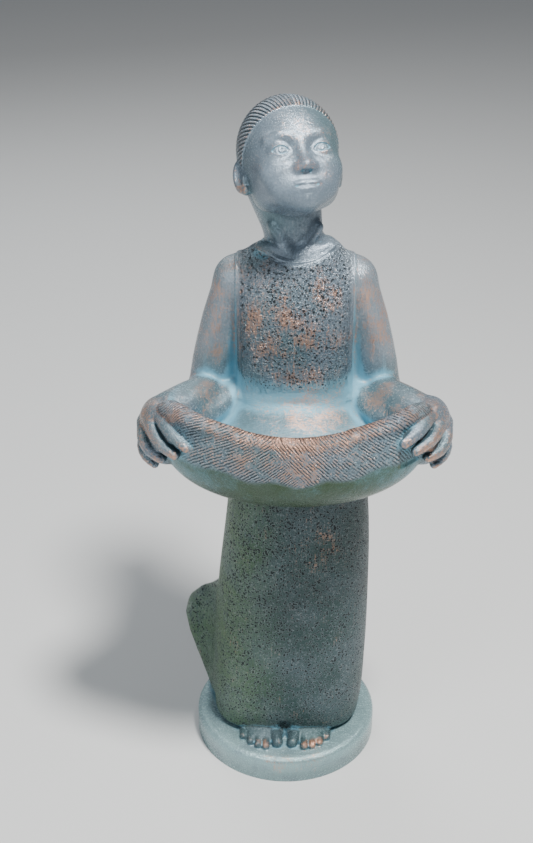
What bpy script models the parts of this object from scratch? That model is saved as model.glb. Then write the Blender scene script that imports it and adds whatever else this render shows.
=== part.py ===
"""A girl who stands on a low round base and holds the front of her dress out as a basin: a garden
birdbath, cast in one piece.

Her shape is a field: a function that is negative inside her and grows with the distance from her
surface. Simple solids such as ellipsoids, limbs and turned columns are blended or carved into one
another, and the surface is then drawn where the field is zero, cut off flat below and thinned out.

Metres, +Z up. She faces -Y, and the origin is the centre of the base's underside."""

import bmesh
import bpy
import numpy as np

# Sizes in metres, each free to change by itself
FIGURE_HEIGHT = 0.815  # from the top of the base to the crown of her head
BASE_RADIUS = 0.117
BASE_THICKNESS = 0.035
BASE_EDGE_RADIUS = 0.009
BASIN_WALL = 0.013  # the cloth's thickness at the rim
BASIN_DEPTH = 0.056  # from the front of the rim down to the deepest point of the hollow
BASIN_HALF_WIDTH = 0.158
BASIN_REACH = 0.109  # from the middle of the basin forward to the front of its rim
BASIN_DROP = 0.113  # from the rim down to the lowest point of its underside

# The figure is drawn in its own millimetres, from the top of the base up, at this height
DRAWN_HEIGHT = 815.0
MM = FIGURE_HEIGHT / DRAWN_HEIGHT
MIDDLE_X = 7.0  # the shoulders, arms and basin are symmetric about this x
BASIN_Y = -75.0
RIM_Z = 500.0  # the rim at the front, and the level at which the basin is widest
WAIST_Z = 482.0  # where the basin's floor meets her waist
HEAD_AT = (0.0, -5.0, 748.0)
HEAD_TURN = 15.0  # degrees to the viewer's right
HEAD_LIFT = 33.0  # degrees that the face looks up

# The mesh
STEP = 2.6  # the field is read on a grid this fine, in figure millimetres
TRIANGLES = 9600
FAR = 60.0

COPPER = (0.235, 0.300, 0.320, 1.0)


def clear_scene():
    for thing in list(bpy.data.objects):
        bpy.data.objects.remove(thing)


# Fields of simple solids. p holds points, one in a row

def length(v):
    return np.sqrt(np.einsum("ij,ij->i", v, v))


def ellipsoid(p, centre, radii):
    q = (p - np.array(centre)) / np.array(radii)
    k = length(q)
    return k * (k - 1) / np.maximum(length(q / np.array(radii)), 1e-6)


def limb(p, a, b, radius_a, radius_b):
    """A straight limb from a to b with round ends, as thick at each as its radius says."""
    a, b = np.array(a, float), np.array(b, float)
    along = b - a
    t = np.clip((p - a) @ along / (along @ along), 0, 1)
    return length(p - a - t[:, None] * along) - (radius_a + t * (radius_b - radius_a))


def tube(p, points, radii, pieces=2):
    """A bent limb: a smooth curve through the points, cut into short straight limbs."""
    at = np.arange(len(points))
    fine = np.linspace(0, at[-1], at[-1] * pieces + 1)
    line = np.column_stack([through(fine, at, axis) for axis in zip(*points)])
    thick = through(fine, at, radii)
    d = limb(p, line[0], line[1], thick[0], thick[1])
    for i in range(1, len(fine) - 1):
        d = np.minimum(d, limb(p, line[i], line[i + 1], thick[i], thick[i + 1]))
    return d


def web(p, a, b, c, thickness):
    """A rounded sheet stretched over three corners."""
    a, b, c = (np.array(v, float) for v in (a, b, c))
    n = np.cross(b - a, c - a)
    n /= np.sqrt(n @ n)
    height = (p - a) @ n
    flat = p - height[:, None] * n
    outside = np.full(len(p), -FAR)
    for u, v in ((a, b), (b, c), (c, a)):
        side = np.cross(v - u, n)
        outside = np.maximum(outside, (flat - u) @ (side / np.sqrt(side @ side)))
    edge = np.minimum.reduce([limb(p, u, v, 0, 0) for u, v in ((a, b), (b, c), (c, a))])
    return np.where(outside < 0, np.abs(height), edge) - thickness / 2


def blend(a, b, k):
    """Both solids, with a fillet about k wide where they meet."""
    h = np.maximum(k - np.abs(a - b), 0)
    return np.minimum(a, b) - h * h / (4 * k)


def carve(a, b, k):
    """Solid a less solid b, with its edges rounded over about k."""
    h = np.maximum(k - np.abs(a + b), 0)
    return np.maximum(a, -b) + h * h / (4 * k)


def ease(x):
    x = np.clip(x, 0, 1)
    return x * x * (3 - 2 * x)


def through(x, at, values):
    """A smooth curve through the values."""
    at, values = np.array(at, float), np.array(values, float)
    slope = np.gradient(values, at)
    i = np.clip(np.searchsorted(at, x) - 1, 0, len(at) - 2)
    h = at[i + 1] - at[i]
    t = np.clip((x - at[i]) / h, 0, 1)
    return ((1 + 2 * t) * (1 - t) ** 2 * values[i] + t * (1 - t) ** 2 * h * slope[i]
            + t * t * (3 - 2 * t) * values[i + 1] + t * t * (t - 1) * h * slope[i + 1])


def column(p, levels, rounding=8.0):
    """An upright form. Each level is z, centre x, half width, reach to the front, reach to the
    back, and how square its section is: 2 for an oval, more for a rounded box."""
    zs, xs, widths, fronts, backs, squares = zip(*levels)
    x, y, z = p.T
    half = through(z, zs, widths)
    deep = np.where(y < 0, through(z, zs, fronts), through(z, zs, backs))
    power = through(z, zs, squares)
    u, v = np.abs(x - through(z, zs, xs)) / half, np.abs(y) / deep
    k = np.maximum((u ** power + v ** power) ** (1 / power), 1e-6)
    steep = np.hypot((u / k) ** (power - 1) / half, (v / k) ** (power - 1) / deep)
    side = (k - 1) / np.maximum(steep, 1e-6)
    return carve(side, -np.maximum(zs[0] - z, z - zs[-1]), rounding)


def near(p, low, high, shape):
    """The field of shape inside a box, and far away outside it, which saves time."""
    d = np.full(len(p), FAR)
    inside = np.all((p > np.array(low)) & (p < np.array(high)), axis=1)
    if inside.any():
        d[inside] = shape(p[inside])
    return d


def folded(p, middle=0.0):
    """Points with x counted outward from the middle, so that one side stands for both."""
    return np.column_stack([np.abs(p[:, 0] - middle), p[:, 1], p[:, 2]])


# The dress

def dress(p):
    skirt = column(p, [
        (4, 1, 93, 69, 74, 2.9), (30, 2, 96, 73, 80, 2.8), (100, 5, 97, 75, 84, 2.5),
        (190, 8, 95, 75, 82, 2.4), (320, 13, 86, 72, 74, 2.3), (400, 11, 78, 64, 64, 2.3),
        (470, 8, 69, 55, 54, 2.3), (520, 7, 67, 53, 52, 2.3), (575, 7, 69, 54, 53, 2.3),
        (615, 7, 64, 46, 46, 2.3), (642, 7, 48, 34, 36, 2.3)])
    edge = [(-72, 34, 144), (-104, 44, 136), (-117, 48, 110), (-105, 42, 60), (-87, 34, 14)]
    train = tube(p, edge, [15, 17, 17, 16, 12])
    train = blend(train, web(p, (-66, 34, 140), (-110, 46, 118), (-72, 30, 16), 31), 4)
    train = blend(train, limb(p, (-40, 74, 120), (-92, 70, 66), 17, 15), 26)
    d = blend(skirt, train, 36)
    d = carve(d, limb(p, (-1, -90, 0), (-1, -70, 16), 7, 4), 10)
    return carve(d, ellipsoid(p, (-116, 28, 137), (3.5, 5, 4.5)), 1.5)


def feet(p):
    p = folded(p)
    within = column(p, [(-6, 0, 74, 54, 54, 2.6), (20, 0, 76, 56, 58, 2.6)])
    d = blend(within, ellipsoid(p, (29, -60, 1), (30, 30, 13)), 5)
    toes = [limb(p, (12, -76, 6), (9.5, -89, 6.0), 8.0, 6.8)]
    for i in range(4):
        x, reach = 24.5 + 9.8 * i, 94 - 2.0 * i * i
        toes.append(limb(p, (x, -74 + 2 * i, 4.2), (x, -reach, 4.0), 5.6 - 0.25 * i, 5.0 - 0.25 * i))
    return blend(d, np.minimum.reduce(toes), 2)


# The basin

def rim_height(x):
    """How high the rim is, x from the middle: it sags between her hands, and dips into them."""
    return RIM_Z + 11 * ease(np.abs(x) / 120) - 16 * ease((np.abs(x) - 122) / 26)


def basin_floor(x, y):
    """The hollow's surface: it slopes gently away from her waist, then up to the rim."""
    wide, reach = BASIN_HALF_WIDTH / MM, BASIN_REACH / MM
    wall, depth = BASIN_WALL / MM, BASIN_DEPTH / MM
    across = np.hypot(x / (wide - wall), (y - BASIN_Y) / (reach - wall))
    to_rim = np.clip(1 - across, 0, 1) * (reach - wall)
    to_waist = np.clip(np.hypot(x / 66, y / 55) - 1, 0, 1) * 55
    share = to_rim / np.maximum(to_rim + to_waist, 1e-6)
    low = RIM_Z - depth
    slope = WAIST_Z - (WAIST_Z - low) * np.sin(np.pi / 2 * np.clip((1 - share) / 0.66, 0, 1))
    return slope + (rim_height(x) - low) * np.clip(1 - share / 0.34, 0, 1) ** 2.4, across


def basin(p):
    """The cloth held out in front: a deep round bowl, hollowed from above. By the hand on the
    viewer's right its outer layer ends in a low step."""
    sideways = p[:, 0]
    p = folded(p, MIDDLE_X)
    wide, reach, drop = BASIN_HALF_WIDTH / MM, BASIN_REACH / MM, BASIN_DROP / MM
    wall = BASIN_WALL / MM
    x, y, z = p.T
    plan = np.hypot(x / wide, (y - BASIN_Y) / reach)
    down = np.clip((RIM_Z - z) / drop, 0, None)
    power = 3.2
    k = np.maximum((plan ** power + down ** power) ** (1 / power), 1e-6)
    steep = np.hypot((plan / k) ** (power - 1) * 1.15 / reach, (down / k) ** (power - 1) / drop)
    body = carve((k - 1) / np.maximum(steep, 1e-6), rim_height(x) - z, wall * 0.9)
    floor, across = basin_floor(x, y)
    hollow = np.maximum((floor - z) * 0.7, (across - 1) * (reach - wall))
    body = carve(body, hollow, 4.0)
    turned_in = ease((sideways - 122) / 2) * ease((z - 444) / 6) * (y < -60)
    body = body + 1.8 * turned_in
    forearm = wide - 56 + 0.8 * np.clip(-24 - y, 0, None)
    behind_hand = np.maximum(np.maximum(forearm - x, -93 - y), 448 - z)
    return carve(body, behind_hand, 10.0)


# Arms and hands. They are drawn for a basin of one size, and follow its side if it is wider or deeper

DRAWN_HALF_WIDTH, DRAWN_REACH = 158.0, 109.0


def at_grip(p, share=1.0):
    """Points as seen from the hand, so that it stays on the basin's side."""
    wider, longer = BASIN_HALF_WIDTH / MM - DRAWN_HALF_WIDTH, BASIN_REACH / MM - DRAWN_REACH
    x, y, z = folded(p, MIDDLE_X).T
    return np.column_stack([x - wider * share, y + 0.4 * longer * share, z])


def arms(p):
    forward = ease(-p[:, 1] / 60)
    p = at_grip(p, forward)
    shoulder = limb(p, (20, 6, 632), (62, 2, 608), 21, 25)
    upper = tube(p, [(66, 2, 606), (82, 7, 555), (93, 13, 498), (101, 18, 464)], [25, 25, 27, 24])
    fore = tube(p, [(101, 16, 462), (107, -24, 470), (122, -50, 475), (140, -72, 478)],
                [24, 24.8, 24, 21.5], 5)
    against_waist = tube(p, [(58, 8, 592), (78, 12, 490), (74, 10, 455)], [16, 18, 20])
    in_elbow = limb(p, (70, -6, 464), (104, -52, 462), 20, 17)
    d = blend(blend(upper, fore, 5), shoulder, 14)
    return blend(d, blend(against_waist, in_elbow, 8), 6)


FINGERS = [  # where each finger's knuckle, joints and tip lie, and its radii
    ([(146, -99, 488), (139, -121, 487), (129, -138, 481), (116, -151, 474)], [10.5, 10.0, 9.0, 6.0]),
    ([(160, -88, 479), (155, -110, 474), (144, -130, 466), (129, -145, 461)], [10.2, 9.2, 8.2, 5.6]),
    ([(167, -77, 464), (167, -97, 457), (159, -113, 449), (146, -124, 444)], [9.8, 8.6, 7.8, 5.4]),
    ([(168, -66, 447), (170, -84, 438), (165, -97, 432), (156, -106, 427)], [8.8, 7.6, 6.8, 5.0])]


def hands(p):
    """Both hands. The one on the viewer's right holds the cloth a little higher."""
    lifted = (3 + 5 * ease((-112 - p[:, 1]) / 30)) * (p[:, 0] > MIDDLE_X)
    p = at_grip(p) - lifted[:, None] * (0.3, 0, 1)
    d = blend(ellipsoid(p, (150, -78, 468), (24, 27, 28)), ellipsoid(p, (142, -97, 449), (21, 25, 24)), 8)
    d = blend(d, ellipsoid(p, (150, -93, 482), (15, 19, 17)), 6)
    d = blend(d, limb(p, (124, -58, 457), (127, -94, 452), 14, 14), 6)
    for (one, _), (other, _) in zip(FINGERS, FINGERS[1:]):
        between = (np.array(one[:3]) + np.array(other[:3])) / 2 + (-5, 3, -1)
        d = blend(d, tube(p, between, [8.0, 7.0, 6.0]), 3)
    fingers = np.full(len(p), FAR)
    for points, radii in FINGERS:
        d = blend(d, limb(p, (141, -64, 465), points[0], 13, radii[0]), 5)
        fingers = blend(fingers, tube(p, points, radii), 0.8)
    return blend(d, fingers, 3.0)


def held_edge(p):
    """The rolled edge of the cloth, thick where it is gathered over her thumb."""
    p = at_grip(p, ease((np.abs(p[:, 0] - MIDDLE_X) - 50) / 60))
    return tube(p, [(62, -166, 499), (92, -155, 502), (116, -139, 504), (133, -119, 502),
                    (142, -106, 497)], [5.5, 7, 9.5, 11, 8.5])


# The head, in millimetres from the middle of the skull, with the face towards -y

def skull(q):
    s = folded(q)
    d = ellipsoid(q, (0, 6, 12), (53, 60, 56))
    jaw = blend(ellipsoid(q, (0, -13, -23), (42, 41, 42)), ellipsoid(q, (0, -42, -56), (15, 13, 12)), 18)
    d = blend(d, jaw, 24)
    d = blend(d, ellipsoid(s, (24, -34, -24), (20, 16, 18)), 14)
    d = blend(d, ellipsoid(s, (19, -36, -44), (15, 12, 12)), 14)
    return blend(d, ellipsoid(s, (31, -2, -38), (12, 20, 14)), 16)


def eyes(s, d):
    """Sockets, lids and eyeballs. s is folded about the middle of the face."""
    d = carve(d, ellipsoid(s, (20.5, -61.5, -3.5), (15.5, 12, 9.5)), 9)
    d = blend(d, tube(s, [(9, -48, 10), (21, -47.5, 13), (32, -40.5, 11)], [3.2, 3.4, 2.4]), 10)
    x, z = s[:, 0], s[:, 2]
    ball = ellipsoid(s, (21.5, -39.8, -4), (12, 12, 12))
    lids = ellipsoid(s, (21.5, -39.8, -4), (13.7, 13.7, 13.7))
    u = (x - 21.5) / 10.4
    gap = 4.9 * np.clip(1 - u * u, 0, 1) ** 0.8 - 0.3
    lids = carve(lids, np.abs(z + 4.3 - 1.0 * (1 - u * u) - 0.06 * (x - 21.5)) - gap, 0.7)
    lids = np.maximum(lids, np.abs(z + 4) - 12.5)
    return np.minimum(blend(d, lids, 3), ball)


def nose(q, s, d):
    bridge = tube(q, [(0, -49, 4), (0, -54.5, -10), (0, -61.5, -23)], [3.6, 4.4, 6.2])
    wings = ellipsoid(s, (6.6, -56.5, -25), (5.2, 6, 4.6))
    d = blend(d, blend(bridge, wings, 5), 6)
    return carve(d, ellipsoid(s, (4.2, -59.5, -30.3), (2.1, 3.6, 2.4)), 1)


def mouth(q, s, d):
    d = blend(d, ellipsoid(q, (0, -41, -43), (20, 15, 13)), 12)
    d = carve(d, limb(q, (0, -60.5, -33), (0, -62.5, -37.5), 1.2, 1.8), 3)
    upper = ellipsoid(s, (4.8, -54.0, -41.0), (9.0, 4.9, 3.2))
    lower = ellipsoid(q, (0, -53.7, -47.0), (10.5, 5, 3.7))
    d = blend(d, np.minimum(upper, lower), 2.5)
    line = [(0, -59.6, -44.1), (7, -58.6, -44.2), (15, -53.6, -43.0)]
    return carve(d, tube(s, line, [0.8, 0.8, 0.6]), 1.2)


def face(q, d):
    s = folded(q)
    return mouth(q, s, nose(q, s, eyes(s, d)))


def ear(q):
    s = folded(q)
    turn = np.radians(28)
    x, y, z = s[:, 0] - 53, s[:, 1] - 12, s[:, 2] + 13
    s = np.column_stack([x * np.cos(turn) - y * np.sin(turn), x * np.sin(turn) + y * np.cos(turn), z])
    d = ellipsoid(s, (0, 1 + 0, 1), (5.5, 12, 18.5))
    d = carve(d, ellipsoid(s, (5.5, -1, 3), (4.6, 7.6, 13)), 2)
    d = blend(d, ellipsoid(s, (1.5, -7, -4), (3.5, 3, 4.5)), 2)
    return blend(d, ellipsoid(s, (0, -5, -16), (4.2, 5.5, 5)), 4)


def hair(q, d):
    """A cap of combed hair, a little proud of the skin, and the bun that it is drawn back to."""
    above_line = (q[:, 2] - 46) * 0.69 + (q[:, 1] + 44) * 0.725
    cap = np.maximum(ellipsoid(q, (0, 7, 12), (55, 61.5, 58.5)), -above_line)
    cap = np.maximum(cap, -(q[:, 2] + 40))
    d = blend(d, cap, 1.5)
    bun = ellipsoid(q, (0, 70, -4), (19, 13, 19))
    return blend(d, bun, 5)


def head(p):
    turn, lift = np.radians(HEAD_TURN), np.radians(-HEAD_LIFT)
    about_z = np.array([[np.cos(turn), -np.sin(turn), 0], [np.sin(turn), np.cos(turn), 0], [0, 0, 1]])
    about_x = np.array([[1, 0, 0], [0, np.cos(lift), -np.sin(lift)], [0, np.sin(lift), np.cos(lift)]])
    q = (p - np.array(HEAD_AT)) @ about_z @ about_x
    return blend(hair(q, face(q, skull(q))), ear(q), 3)


# The whole figure

def base(p):
    radius, thickness, edge = BASE_RADIUS / MM, BASE_THICKNESS / MM, BASE_EDGE_RADIUS / MM
    out = np.hypot(p[:, 0], p[:, 1]) - (radius - edge)
    up = np.abs(p[:, 2] + thickness) - (thickness - edge)
    return np.minimum(np.maximum(out, up), 0) + np.hypot(np.maximum(out, 0), np.maximum(up, 0)) - edge


def bodice(p, d):
    """The sleeveless top of the dress, a little proud of her arms and neck."""
    s = folded(p, MIDDLE_X)
    neckline = 645 + 9 * (s[:, 0] / 40) ** 2
    side = 67.5 - s[:, 0]
    inside = np.minimum(np.minimum(side, neckline - s[:, 2]), s[:, 2] - 470)
    return d - 1.8 * ease(inside / 2.5)


def figure(p):
    """The field of the whole casting at points p, in figure millimetres."""
    d = near(p, (-170, -130, -20), (150, 140, 690), dress)
    d = blend(d, near(p, (-170, -140, 380), (190, 100, 700), arms), 4)
    d = blend(d, ellipsoid(p, (12, 3, 637), (44, 42, 25)), 8)
    d = bodice(p, d)
    neck = blend(limb(p, (7, 7, 630), (2, 6, 712), 33, 29.5), limb(p, (2, 16, 660), (-6, 24, 705), 30, 42), 8)
    d = blend(d, neck, 5)
    d = blend(d, near(p, (-190, -210, 330), (210, 70, 540), basin), 7)
    d = blend(d, near(p, (-190, -210, 420), (210, -40, 530), held_edge), 6)
    d = blend(d, near(p, (-200, -190, 380), (215, 0, 530), hands), 2)
    d = blend(d, near(p, (-90, -110, 640), (90, 110, 840), head), 8)
    d = blend(d, near(p, (-90, -120, -20), (90, 80, 50), feet), 2)
    return blend(d, base(p), 2)


# From the field to a mesh

def read_field(low, high, step):
    """The field on a grid. Far from the surface it is read on every fourth point only."""
    skip = 4
    counts = [int(np.ceil((h - l) / (step * skip))) + 1 for l, h in zip(low, high)]
    coarse = grid_points(low, counts, step * skip)
    value = figure(coarse).astype(np.float32).reshape(counts)
    fine = value
    for axis in range(3):
        fine = np.repeat(fine, skip, axis=axis)
    close = np.argwhere(np.abs(fine) < step * skip * 2.2)
    for part in np.array_split(close, max(1, len(close) // 400000)):
        points = np.array(low) + part * step
        fine[tuple(part.T)] = figure(points)
    return fine


def grid_points(low, counts, step):
    axes = [l + step * np.arange(n) for l, n in zip(low, counts)]
    return np.stack(np.meshgrid(*axes, indexing="ij"), axis=-1).reshape(-1, 3)


CORNERS = [(i, j, k) for i in (0, 1) for j in (0, 1) for k in (0, 1)]


def at_corner(array, corner, size=(1, 1, 1)):
    """The array's value at one corner of every cell."""
    i, j, k = (slice(c, n - s + c) for c, n, s in zip(corner, array.shape, size))
    return array[i, j, k]


def plug(value, depth):
    """Fills in the few places where the surface would touch itself along an edge or at a point."""
    for _ in range(12):
        inside = value < 0
        fill = np.zeros_like(inside)
        for axis in range(3):
            size = tuple(int(i != axis) for i in range(3))
            ring = [(0, 0), (1, 0), (1, 1), (0, 1)]
            ring = [tuple(np.insert(c, axis, 0)) for c in ring]
            a, b, c, d = (at_corner(inside, corner, size) for corner in ring)
            crossed = (a == c) & (b == d) & (a != b)
            for corner in ring:
                at_corner(fill, corner, size)[crossed] = True
        count = sum(at_corner(inside, c).astype(np.int8) for c in CORNERS)
        for corner in CORNERS[:4]:
            across = tuple(1 - c for c in corner)
            a, b = at_corner(inside, corner), at_corner(inside, across)
            lone = ((count == 2) & a & b) | ((count == 6) & ~a & ~b)
            for c in CORNERS:
                at_corner(fill, c)[lone] = True
        fill &= ~inside
        if not fill.any():
            break
        value[fill] = -depth
    return value


def surface(value, low, step):
    """Points and four-sided faces where the values on the grid change sign. The surface stays open
    where it runs off the grid, under the base."""
    inside = value < 0
    shape = tuple(n - 1 for n in value.shape)
    count = sum(at_corner(inside, c).astype(np.int8) for c in CORNERS)
    cells = np.argwhere((count > 0) & (count < 8))
    number = np.full(shape, -1, np.int32)
    number[tuple(cells.T)] = np.arange(len(cells))
    total, hits = np.zeros((len(cells), 3)), np.zeros(len(cells))
    for a in CORNERS:
        for axis in range(3):
            if a[axis]:
                continue
            b = tuple(1 if i == axis else a[i] for i in range(3))
            va, vb = value[tuple((cells + a).T)], value[tuple((cells + b).T)]
            cross = (va < 0) != (vb < 0)
            share = va[cross] / (va[cross] - vb[cross])
            total[cross] += np.array(a) + share[:, None] * (np.array(b) - np.array(a))
            hits[cross] += 1
    points = (cells + total / hits[:, None]) * step + np.array(low)
    faces = []
    for axis in range(3):
        one, two = (axis + 1) % 3, (axis + 2) % 3
        ahead = np.take(inside, range(1, inside.shape[axis]), axis=axis)
        behind = np.take(inside, range(inside.shape[axis] - 1), axis=axis)
        for outward, edges in ((True, behind & ~ahead), (False, ahead & ~behind)):
            edges = np.argwhere(edges)
            edges = edges[(edges[:, one] > 0) & (edges[:, two] > 0)]
            ring = []
            for da, db in ((0, 0), (1, 0), (1, 1), (0, 1)):
                cell = edges.copy()
                cell[:, one] -= da
                cell[:, two] -= db
                ring.append(number[tuple(cell.T)])
            ring = np.column_stack(ring)
            faces.append(ring if outward else ring[:, ::-1])
    return points, np.concatenate(faces)


def settle(points, rounds=3):
    """Moves points onto the surface along the field's slope."""
    h = 0.3
    for _ in range(rounds):
        slope = np.column_stack([figure(points + np.eye(3)[i] * h) - figure(points - np.eye(3)[i] * h)
                                 for i in range(3)]) / (2 * h)
        size = np.maximum(np.einsum("ij,ij->i", slope, slope), 0.2)
        shift = -(figure(points) / size)[:, None] * slope
        points = points + np.clip(shift, -STEP * 0.5, STEP * 0.5)
    return points


def largest_shell(shape):
    """Removes any bubble that two blended solids have closed in between them."""
    seen, shells = set(), []
    for start in shape.verts:
        if start in seen:
            continue
        seen.add(start)
        shell = [start]
        for vert in shell:
            beyond = [edge.other_vert(vert) for edge in vert.link_edges]
            new = [other for other in beyond if other not in seen]
            seen.update(new)
            shell.extend(new)
        shells.append(shell)
    shells.sort(key=len)
    stray = [vert for shell in shells[:-1] for vert in shell]
    bmesh.ops.delete(shape, geom=stray, context="VERTS")


def make_figure(name):
    reach = 215
    low = (-reach, -reach, -BASE_THICKNESS / MM - 8)
    high = (reach, 150, DRAWN_HEIGHT + 20)
    points, faces = surface(plug(read_field(low, high, STEP), 0.1 * STEP), low, STEP)
    points = settle(points, 2)
    mesh = bpy.data.meshes.new(name)
    mesh.from_pydata(points * MM + np.array((0, 0, BASE_THICKNESS)), [], faces)
    shape = bmesh.new()
    shape.from_mesh(mesh)
    largest_shell(shape)
    everything = shape.verts[:] + shape.edges[:] + shape.faces[:]
    cut = bmesh.ops.bisect_plane(
        shape, geom=everything, plane_co=(0, 0, 0), plane_no=(0, 0, -1), clear_outer=True)
    rim = [e for e in cut["geom_cut"] if isinstance(e, bmesh.types.BMEdge)]
    bmesh.ops.contextual_create(shape, geom=rim)
    bmesh.ops.triangulate(shape, faces=shape.faces[:])
    shape.to_mesh(mesh)
    shape.free()
    statue = bpy.data.objects.new(name, mesh)
    bpy.context.scene.collection.objects.link(statue)
    thin = statue.modifiers.new("Thin out", "DECIMATE")
    thin.ratio = TRIANGLES / len(mesh.polygons)
    mesh.shade_smooth()
    mesh.materials.append(copper_patina())
    return statue


def copper_patina():
    material = bpy.data.materials.new("copper_patina")
    material.use_nodes = True
    shader = material.node_tree.nodes["Principled BSDF"]
    shader.inputs["Base Color"].default_value = COPPER
    shader.inputs["Metallic"].default_value = 0.35
    shader.inputs["Roughness"].default_value = 0.5
    return material


clear_scene()
make_figure("girl_statue")
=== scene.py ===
"""The looks of the girl statue birdbath: one casting in resin, painted as weathered copper.

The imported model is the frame. The piece "girl_casting" stands for its one node: it is drawn from the
same field as the solid, with finer relief added, such as the combed hair, the eyes and the nails.
Numbers stored on its vertices tell the paint where cloth, hair, hollows and worn places are.
Metres, +Z up; she faces -Y."""

import bmesh
import bpy
import numpy as np
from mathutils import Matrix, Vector


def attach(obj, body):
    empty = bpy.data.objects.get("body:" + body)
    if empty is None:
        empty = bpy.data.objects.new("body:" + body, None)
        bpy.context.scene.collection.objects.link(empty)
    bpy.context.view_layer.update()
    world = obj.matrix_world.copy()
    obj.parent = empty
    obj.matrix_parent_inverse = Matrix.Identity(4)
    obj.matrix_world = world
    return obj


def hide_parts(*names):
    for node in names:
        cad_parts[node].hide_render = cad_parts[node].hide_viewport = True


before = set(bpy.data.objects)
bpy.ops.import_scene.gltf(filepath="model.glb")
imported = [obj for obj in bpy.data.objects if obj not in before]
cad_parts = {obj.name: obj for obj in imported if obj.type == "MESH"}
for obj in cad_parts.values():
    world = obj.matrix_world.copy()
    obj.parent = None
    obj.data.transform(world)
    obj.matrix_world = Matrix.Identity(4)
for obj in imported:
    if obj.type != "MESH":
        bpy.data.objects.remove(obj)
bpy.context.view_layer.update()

# Sizes in metres, as in the solid
FIGURE_HEIGHT = 0.815  # from the top of the base to the crown of her head
BASE_RADIUS = 0.117
BASE_THICKNESS = 0.035
BASE_EDGE_RADIUS = 0.009
BASIN_WALL = 0.013  # the cloth's thickness at the rim
BASIN_DEPTH = 0.056  # from the front of the rim down to the deepest point of the hollow
BASIN_HALF_WIDTH = 0.158
BASIN_REACH = 0.109  # from the middle of the basin forward to the front of its rim
BASIN_DROP = 0.113  # from the rim down to the lowest point of its underside

# The figure is drawn in its own millimetres, from the top of the base up, at this height
DRAWN_HEIGHT = 815.0
MM = FIGURE_HEIGHT / DRAWN_HEIGHT
MIDDLE_X = 7.0  # the shoulders, arms and basin are symmetric about this x
BASIN_Y = -75.0
RIM_Z = 500.0  # the rim at the front, and the level at which the basin is widest
WAIST_Z = 482.0  # where the basin's floor meets her waist
WAIST_HALF_WIDTH = 66
WAIST_HALF_DEPTH = 55
HEAD_AT = (0.0, -5.0, 748.0)
HEAD_TURN = 15.0  # degrees to the viewer's right
HEAD_LIFT = 33.0  # degrees that the face looks up

# The mesh
STEP = 2.0  # the field is read on a grid this fine, in figure millimetres
TRIANGLES = 192000
GRID_REACH = 215  # how far the grid goes to each side and to the front
GRID_BACK = 150  # and to the back
BELOW_BASE = 8  # how far it goes below the base
ABOVE_HEAD = 20  # and above her head
FAR = 60.0  # what a form's field says where it isn't worked out
FINE_BOXES = [  # where the mesh is twice as fine: head, both hands, toes, and the face once more
    ((-75, -85, 660), (80, 90, 830)),
    ((-185, -175, 410), (-80, -30, 522)),
    ((95, -175, 410), (200, -30, 522)),
    ((-70, -110, -4), (70, -60, 24)),
    ((-40, -75, 690), (60, -20, 790))]


# Fields of simple solids. p holds points, one in a row

def length(v):
    return np.sqrt(np.einsum("ij,ij->i", v, v))


def ellipsoid(p, centre, radii):
    q = (p - np.array(centre)) / np.array(radii)
    k = length(q)
    return k * (k - 1) / np.maximum(length(q / np.array(radii)), 1e-6)


def limb(p, a, b, radius_a, radius_b):
    """A straight limb from a to b with round ends, as thick at each as its radius says."""
    a, b = np.array(a, float), np.array(b, float)
    along = b - a
    t = np.clip((p - a) @ along / (along @ along), 0, 1)
    return length(p - a - t[:, None] * along) - (radius_a + t * (radius_b - radius_a))


def tube(p, points, radii, pieces=2):
    """A bent limb: a smooth curve through the points, cut into short straight limbs."""
    at = np.arange(len(points))
    fine = np.linspace(0, at[-1], at[-1] * pieces + 1)
    line = np.column_stack([through(fine, at, axis) for axis in zip(*points)])
    thick = through(fine, at, radii)
    d = limb(p, line[0], line[1], thick[0], thick[1])
    for i in range(1, len(fine) - 1):
        d = np.minimum(d, limb(p, line[i], line[i + 1], thick[i], thick[i + 1]))
    return d


def web(p, a, b, c, thickness):
    """A rounded sheet stretched over three corners."""
    a, b, c = (np.array(v, float) for v in (a, b, c))
    n = np.cross(b - a, c - a)
    n /= np.sqrt(n @ n)
    height = (p - a) @ n
    flat = p - height[:, None] * n
    outside = np.full(len(p), -FAR)
    for u, v in ((a, b), (b, c), (c, a)):
        side = np.cross(v - u, n)
        outside = np.maximum(outside, (flat - u) @ (side / np.sqrt(side @ side)))
    edge = np.minimum.reduce([limb(p, u, v, 0, 0) for u, v in ((a, b), (b, c), (c, a))])
    return np.where(outside < 0, np.abs(height), edge) - thickness / 2


def blend(a, b, k):
    """Both solids, with a fillet about k wide where they meet."""
    h = np.maximum(k - np.abs(a - b), 0)
    return np.minimum(a, b) - h * h / (4 * k)


def carve(a, b, k):
    """Solid a less solid b, with its edges rounded over about k."""
    h = np.maximum(k - np.abs(a + b), 0)
    return np.maximum(a, -b) + h * h / (4 * k)


def ease(x):
    x = np.clip(x, 0, 1)
    return x * x * (3 - 2 * x)


def through(x, at, values):
    """A smooth curve through the values."""
    at, values = np.array(at, float), np.array(values, float)
    slope = np.gradient(values, at)
    i = np.clip(np.searchsorted(at, x) - 1, 0, len(at) - 2)
    h = at[i + 1] - at[i]
    t = np.clip((x - at[i]) / h, 0, 1)
    return ((1 + 2 * t) * (1 - t) ** 2 * values[i] + t * (1 - t) ** 2 * h * slope[i]
            + t * t * (3 - 2 * t) * values[i + 1] + t * t * (t - 1) * h * slope[i + 1])


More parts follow.
